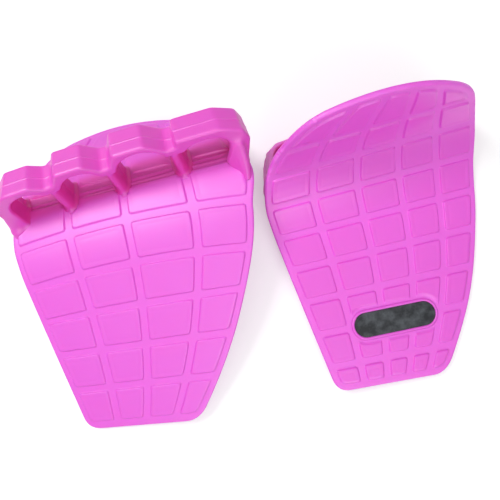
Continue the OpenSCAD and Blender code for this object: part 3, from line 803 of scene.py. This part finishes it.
def make_loops(name, grip, material):
    """The band of four loops of one grip, as one smooth closed skin."""
    xs = np.linspace(*GRID_X)
    ts = spread_lines([SEAM_T + s for s in SEAM_LINES], *GRID_T)
    hs = np.linspace(*GRID_H)
    field = loops_distance(grip, xs[:, None, None], ts[None, :, None], hs[None, None, :])
    points, faces = surface_nets(field, xs, ts, hs)
    step = 0.02
    for _ in range(3):
        d = loops_distance(grip, *points.T)
        slope = np.stack([
            (loops_distance(grip, *(points + step * axis).T) - d) / step for axis in np.eye(3)], -1)
        size = np.maximum((slope * slope).sum(-1), SLOPE_MIN)
        move = -d[:, None] * slope / size[:, None]
        points += np.clip(move, -MOVE_MAX, MOVE_MAX)
    placed = grip.out(grip.looped(*points.T))
    # Loops that carry the grip are pressed flat where they rest
    placed[:, 2] = smax(placed[:, 2], REST_H * MM, REST_EASE * MM)
    # Painted shade: the band takes half the darker tile colour and a deeper rose, more in its openings
    tiles = np.full(len(points), BAND_TILE)
    deep = np.maximum(BAND_SHADE, loop_painted_shade(*points.T))
    return new_object(name, placed, faces, grip.flip < 0, material, tile=tiles, deep=deep)


# Materials
# Painted shade: tile pink darker than groove pink as relief shade, deep rose as shade in and below the loops;
# drift pink is a random tone
GROOVE_PINK, SHADED_TILE_PINK = (0.87, 0.128, 0.78, 1), (0.86, 0.108, 0.74, 1)
DRIFT_PINK, PAINTED_SHADE_ROSE = (0.88, 0.100, 0.71, 1), (0.80, 0.024, 0.34, 1)
PLATE_DARK, PLATE_PALE = (0.012, 0.014, 0.018, 1), (0.075, 0.085, 0.095, 1)


def node(tree, kind, **values):
    """A new shader node with values for its sockets or its own settings."""
    n = tree.nodes.new(kind)
    for key, value in values.items():
        if key in n.inputs:
            n.inputs[key].default_value = value
        else:
            setattr(n, key, value)
    return n


def silicone_material():
    """Satin pink with painted shade: paler in the grooves than on the tiles, slightly clouded, a deeper rose
    painted as shade in and below the loops.
    """
    m = bpy.data.materials.new("silicone")
    m.use_nodes = True
    t = m.node_tree
    shader = t.nodes["Principled BSDF"]
    where = node(t, "ShaderNodeTexCoord")
    tile = node(t, "ShaderNodeAttribute", attribute_name="tile")
    cloud = node(t, "ShaderNodeTexNoise", Scale=38.0, Detail=3.0, Roughness=0.5)
    grain = node(t, "ShaderNodeTexNoise", Scale=2600.0, Detail=2.0, Roughness=0.6)
    for n in (cloud, grain):
        t.links.new(where.outputs["Object"], n.inputs["Vector"])
    # Painted relief shade: tiles a deeper pink than the grooves
    relief_shade = node(t, "ShaderNodeMix", data_type="RGBA")
    relief_shade.inputs["A"].default_value = GROOVE_PINK
    relief_shade.inputs["B"].default_value = SHADED_TILE_PINK
    t.links.new(tile.outputs["Fac"], relief_shade.inputs["Factor"])
    drift = node(t, "ShaderNodeMix", data_type="RGBA")
    drift.inputs["B"].default_value = DRIFT_PINK
    fade = node(t, "ShaderNodeMapRange")
    fade.inputs["From Min"].default_value = 0.35
    fade.inputs["From Max"].default_value = 0.75
    fade.inputs["To Max"].default_value = 0.35
    t.links.new(cloud.outputs["Fac"], fade.inputs["Value"])
    t.links.new(fade.outputs["Result"], drift.inputs["Factor"])
    t.links.new(relief_shade.outputs["Result"], drift.inputs["A"])
    # Painted shade: a deeper rose in and below the loops
    deep = node(t, "ShaderNodeAttribute", attribute_name="deep")
    rose = node(t, "ShaderNodeMix", data_type="RGBA")
    rose.inputs["B"].default_value = PAINTED_SHADE_ROSE
    t.links.new(deep.outputs["Fac"], rose.inputs["Factor"])
    t.links.new(drift.outputs["Result"], rose.inputs["A"])
    t.links.new(rose.outputs["Result"], shader.inputs["Base Color"])
    rough = node(t, "ShaderNodeMapRange")
    rough.inputs["To Min"].default_value = 0.46
    rough.inputs["To Max"].default_value = 0.38
    t.links.new(tile.outputs["Fac"], rough.inputs["Value"])
    t.links.new(rough.outputs["Result"], shader.inputs["Roughness"])
    bump = node(t, "ShaderNodeBump", Strength=0.10, Distance=0.00012)
    t.links.new(grain.outputs["Fac"], bump.inputs["Height"])
    t.links.new(bump.outputs["Normal"], shader.inputs["Normal"])
    shader.inputs["IOR"].default_value = 1.5
    shader.inputs["Specular IOR Level"].default_value = 1.0
    shader.inputs["Subsurface Weight"].default_value = 0.2
    shader.inputs["Subsurface Radius"].default_value = (1.0, 0.2, 0.5)
    shader.inputs["Subsurface Scale"].default_value = 0.0022
    return m


def inlay_material():
    """Dark satin plate with soft patches."""
    m = bpy.data.materials.new("inlay")
    m.use_nodes = True
    t = m.node_tree
    shader = t.nodes["Principled BSDF"]
    where = node(t, "ShaderNodeTexCoord")
    patch = node(t, "ShaderNodeTexNoise", Scale=210.0, Detail=5.0, Roughness=0.62)
    t.links.new(where.outputs["Object"], patch.inputs["Vector"])
    ramp = node(t, "ShaderNodeValToRGB")
    ramp.color_ramp.elements[0].position = 0.38
    ramp.color_ramp.elements[0].color = PLATE_DARK
    ramp.color_ramp.elements[1].position = 0.68
    ramp.color_ramp.elements[1].color = PLATE_PALE
    t.links.new(patch.outputs["Fac"], ramp.inputs["Fac"])
    t.links.new(ramp.outputs["Color"], shader.inputs["Base Color"])
    rough = node(t, "ShaderNodeMapRange")
    rough.inputs["To Min"].default_value = 0.22
    rough.inputs["To Max"].default_value = 0.42
    t.links.new(patch.outputs["Fac"], rough.inputs["Value"])
    t.links.new(rough.outputs["Result"], shader.inputs["Roughness"])
    return m


SILICONE, INLAY = silicone_material(), inlay_material()

for hand, facts in GRIPS.items():
    grip = Grip(**facts)
    pad = make_pad(hand + "_grip_pad", grip, SILICONE)
    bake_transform(pad)
    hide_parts(hand + "_palm_pad", hand + "_flex_web", hand + "_finger_pad")
    loops = make_loops(hand + "_loop_band", grip, SILICONE)
    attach(loops, hand + "_fingers")
    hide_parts(*(hand + "_" + f + "_loop" for f in ("little", "ring", "middle", "index")))
    plate = make_inlay(hand + "_inlay_plate", grip, INLAY)
    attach(plate, "palms")
    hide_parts(hand + "_inlay")


# Floor, light and camera
FLOOR_HALF, FLOOR_DROP, FLOOR_GREY, FLOOR_GLOW = 3.0, 0.0002, (0.82, 0.82, 0.82, 1), 0.34
FOCAL_PX, PHOTO_PX, SENSOR = 464.3, 500, 36.0
CAMERA_AT, CAMERA_TILT = (-0.00175, -0.01552, 0.21765), 0.0787


def make_floor():
    """A pale floor that looks white to the camera and keeps the shadows."""
    mesh = bpy.data.meshes.new("floor")
    s = FLOOR_HALF
    mesh.from_pydata([(-s, -s, 0), (s, -s, 0), (s, s, 0), (-s, s, 0)], [], [(0, 1, 2, 3)])
    obj = bpy.data.objects.new("floor", mesh)
    obj.location.z = -FLOOR_DROP
    bpy.context.scene.collection.objects.link(obj)
    m = bpy.data.materials.new("floor")
    m.use_nodes = True
    t = m.node_tree
    out = t.nodes["Material Output"]
    t.nodes.remove(t.nodes["Principled BSDF"])
    diffuse = node(t, "ShaderNodeBsdfDiffuse")
    diffuse.inputs["Color"].default_value = FLOOR_GREY
    glow = node(t, "ShaderNodeEmission")
    path = node(t, "ShaderNodeLightPath")
    level = node(t, "ShaderNodeMath", operation="MULTIPLY")
    level.inputs[1].default_value = FLOOR_GLOW
    seen = node(t, "ShaderNodeMath", operation="MAXIMUM")
    t.links.new(path.outputs["Is Camera Ray"], seen.inputs[0])
    t.links.new(path.outputs["Is Glossy Ray"], seen.inputs[1])
    t.links.new(seen.outputs[0], level.inputs[0])
    t.links.new(level.outputs[0], glow.inputs["Strength"])
    add = node(t, "ShaderNodeAddShader")
    t.links.new(diffuse.outputs[0], add.inputs[0])
    t.links.new(glow.outputs[0], add.inputs[1])
    t.links.new(add.outputs[0], out.inputs["Surface"])
    mesh.materials.append(m)


def area_light(name, place, target, size, power):
    light = bpy.data.lights.new(name, "AREA")
    light.size, light.energy = size, power
    obj = bpy.data.objects.new(name, light)
    bpy.context.scene.collection.objects.link(obj)
    obj.location = place
    obj.rotation_euler = (Vector(target) - Vector(place)).to_track_quat("-Z", "Y").to_euler()


make_floor()
area_light("ceiling", (0, -0.06, 0.75), (0, -0.06, 0), 1.1, 2.3)
area_light("key", (-0.34, 0.20, 0.52), (0, 0, 0.02), 0.20, 1.8)
area_light("front", (0.20, -0.56, 0.50), (0.04, 0, 0.02), 0.5, 2.0)

world = bpy.data.worlds.new("studio")
bpy.context.scene.world = world
world.use_nodes = True
world.node_tree.nodes["Background"].inputs["Color"].default_value = (1, 1, 1, 1)
world.node_tree.nodes["Background"].inputs["Strength"].default_value = 0.25

camera = bpy.data.cameras.new("camera")
camera.sensor_width = SENSOR
camera.lens = FOCAL_PX / PHOTO_PX * SENSOR
camera.clip_start, camera.clip_end = 0.01, 20.0
eye = bpy.data.objects.new("camera", camera)
bpy.context.scene.collection.objects.link(eye)
eye.location = CAMERA_AT
eye.rotation_euler = (CAMERA_TILT, 0, 0)
bpy.context.scene.camera = eye
bpy.context.scene.view_settings.view_transform = "Standard"
